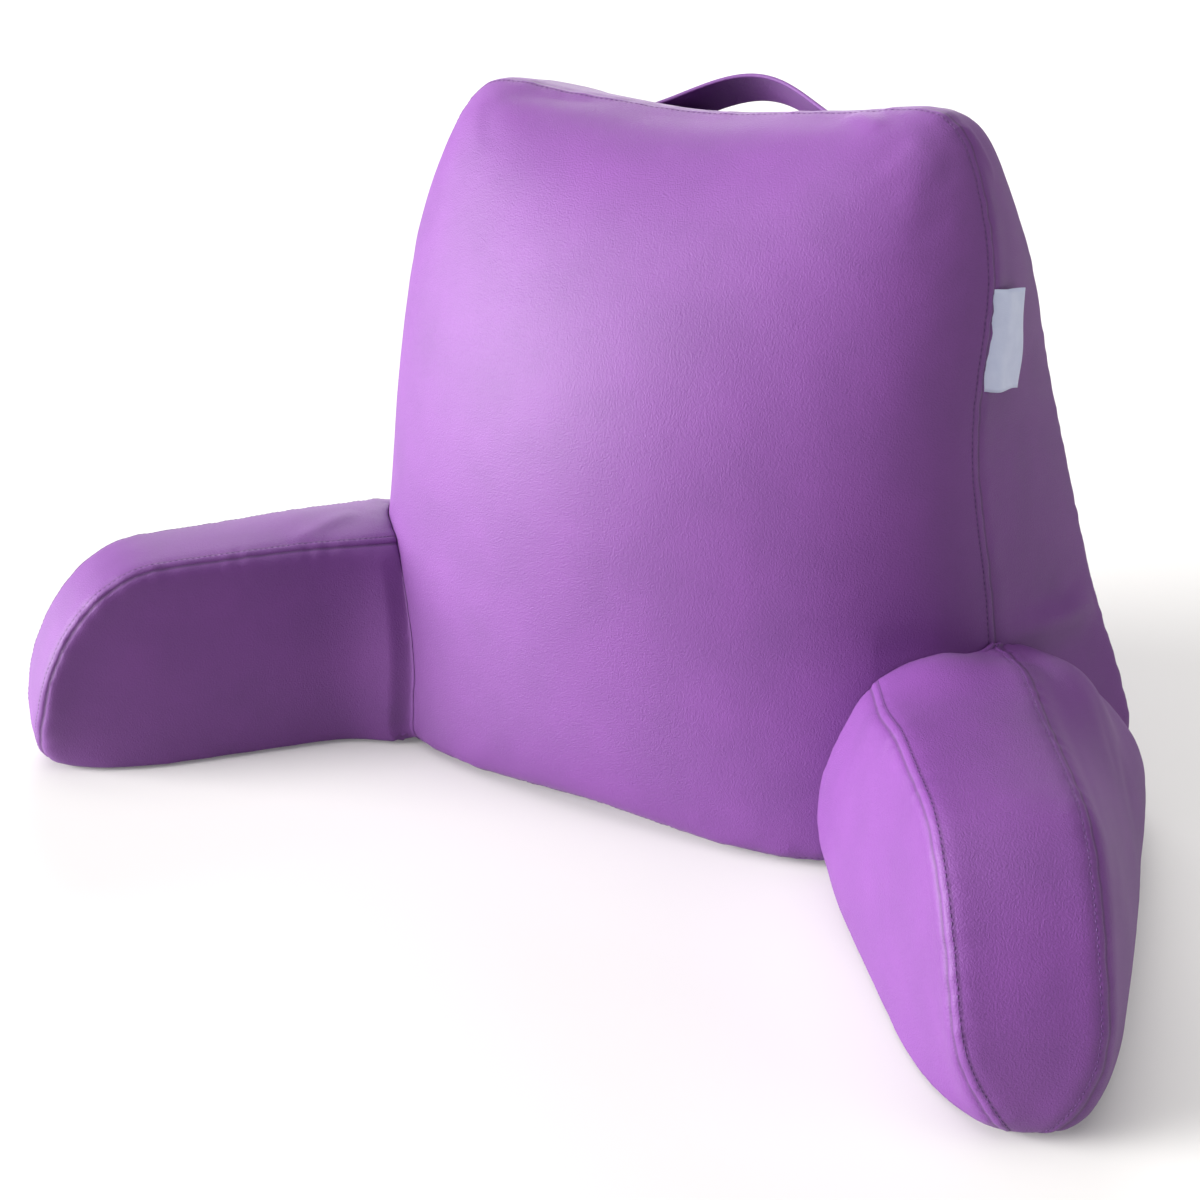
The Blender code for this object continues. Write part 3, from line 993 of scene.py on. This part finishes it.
# A wave texture of scale 1 repeats every pi / 10 metres.
rib_scale = per_metre(RIB_MM) * pi / 10
along_z = {"bands_direction": "Z"}
ribs = add(tape, "ShaderNodeTexWave", along_z, {"Vector": tape_place}, Scale=rib_scale, Distortion=0.4)
cloudy = add(tape, "ShaderNodeTexNoise", links={"Vector": tape_place}, Scale=per_metre(CLOUD_MM), Detail=3.0)
tape_colour = add(tape, "ShaderNodeMix", {"data_type": "RGBA"}, {"Factor": cloudy.outputs["Fac"]})
tape_colour.inputs[6].default_value = linear("B4BBD6")
tape_colour.inputs[7].default_value = linear("C6CCE2")
tape.node_tree.links.new(tape_colour.outputs[2], tape_shader.inputs["Base Color"])
tape_bump = add(tape, "ShaderNodeBump", links={"Height": ribs.outputs["Fac"]}, **TAPE_BUMP)
tape.node_tree.links.new(tape_bump.outputs[0], tape_shader.inputs["Normal"])
tape_shader.inputs["Roughness"].default_value = TAPE_ROUGHNESS

for piece in (back, *arms.values()):
    piece.data.materials.append(velour_sewn)
strap.data.materials.append(velour_plain)
label.data.materials.append(tape)
for row in stitch_rows:
    row.data.materials.append(thread)
print("materials:", [material.name for material in (velour_sewn, velour_plain, tape, thread)])

# %% [markdown]
# ## Size, frame and hand-over
#
# Each piece rides on the model's one body and names its material slot. The three covers, the strap and the
# label replace their CAD solids; the rows of stitches are extra. The label's flat length is measured along
# its own middle line, with its ends that dive into the seam.

# %% Hand over
for piece, node in ((back, "back_cushion"), (arms["left"], "arm_left"), (arms["right"], "arm_right")):
    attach(piece, "root")
    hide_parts(node)
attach(strap, "root")
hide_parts("carry_handle")
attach(label, "root")
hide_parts("side_label")
for row in stitch_rows:
    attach(row, "root")

print("rows of stitches:", len(stitch_rows))

# %% [markdown]
# ## Floor and light
#
# The photograph is a studio shot on white. One large soft light stands low to the left and in front, weaker
# ones hang overhead and stand behind to the left and at the right, and the white room fills the rest. The
# floor is so bright that it shows little more than the soft contact shadow. Far lights light the whole
# floor evenly.

# %% Floor and light
FLOOR_SIZE = 30
FLOOR_Z = -0.0005
PAPER_GLOW = 0.13
ROOM_LIGHT = 0.06

bpy.ops.mesh.primitive_plane_add(size=FLOOR_SIZE, location=(0, 0, FLOOR_Z))
floor = bpy.context.active_object
floor.name = "floor"
paper, paper_shader = new_material("white_paper")
paper_shader.inputs["Base Color"].default_value = linear("C4C2C0")
paper_shader.inputs["Roughness"].default_value = 0.9
paper_shader.inputs["Emission Color"].default_value = linear("FFFFFF")
paper_shader.inputs["Emission Strength"].default_value = PAPER_GLOW
floor.data.materials.append(paper)


def soft_light(name, azimuth, elevation, width, strength):
    """A large far light. Azimuth 0 is straight in front, 90 is to the right. Width is how wide it looks."""
    turn, lift = radians(azimuth), radians(elevation)
    towards = Vector((sin(turn) * cos(lift), -cos(turn) * cos(lift), sin(lift)))
    bpy.ops.object.light_add(type="SUN", location=towards * 3)
    light = bpy.context.active_object
    light.name = name
    light.rotation_euler = towards.to_track_quat("Z", "Y").to_euler()
    light.data.angle = radians(width)
    light.data.energy = strength


LIGHTS = (
    # name         azimuth  elevation  width  strength
    ("key",            -51,        12,    36,    10.8),
    ("overhead",       -30,        80,    60,     2.0),
    ("back_left",     -150,        25,    40,     2.2),
    ("right_fill",     100,        30,    40,     0.7),
)
for row in LIGHTS:
    soft_light(*row)

world = bpy.data.worlds.new("white_room")
bpy.context.scene.world = world
world.use_nodes = True
world.node_tree.nodes["Background"].inputs["Color"].default_value = (1, 1, 1, 1)
world.node_tree.nodes["Background"].inputs["Strength"].default_value = ROOM_LIGHT
bpy.context.scene.view_settings.view_transform = "Standard"
print("lights:", [row[0] for row in LIGHTS])
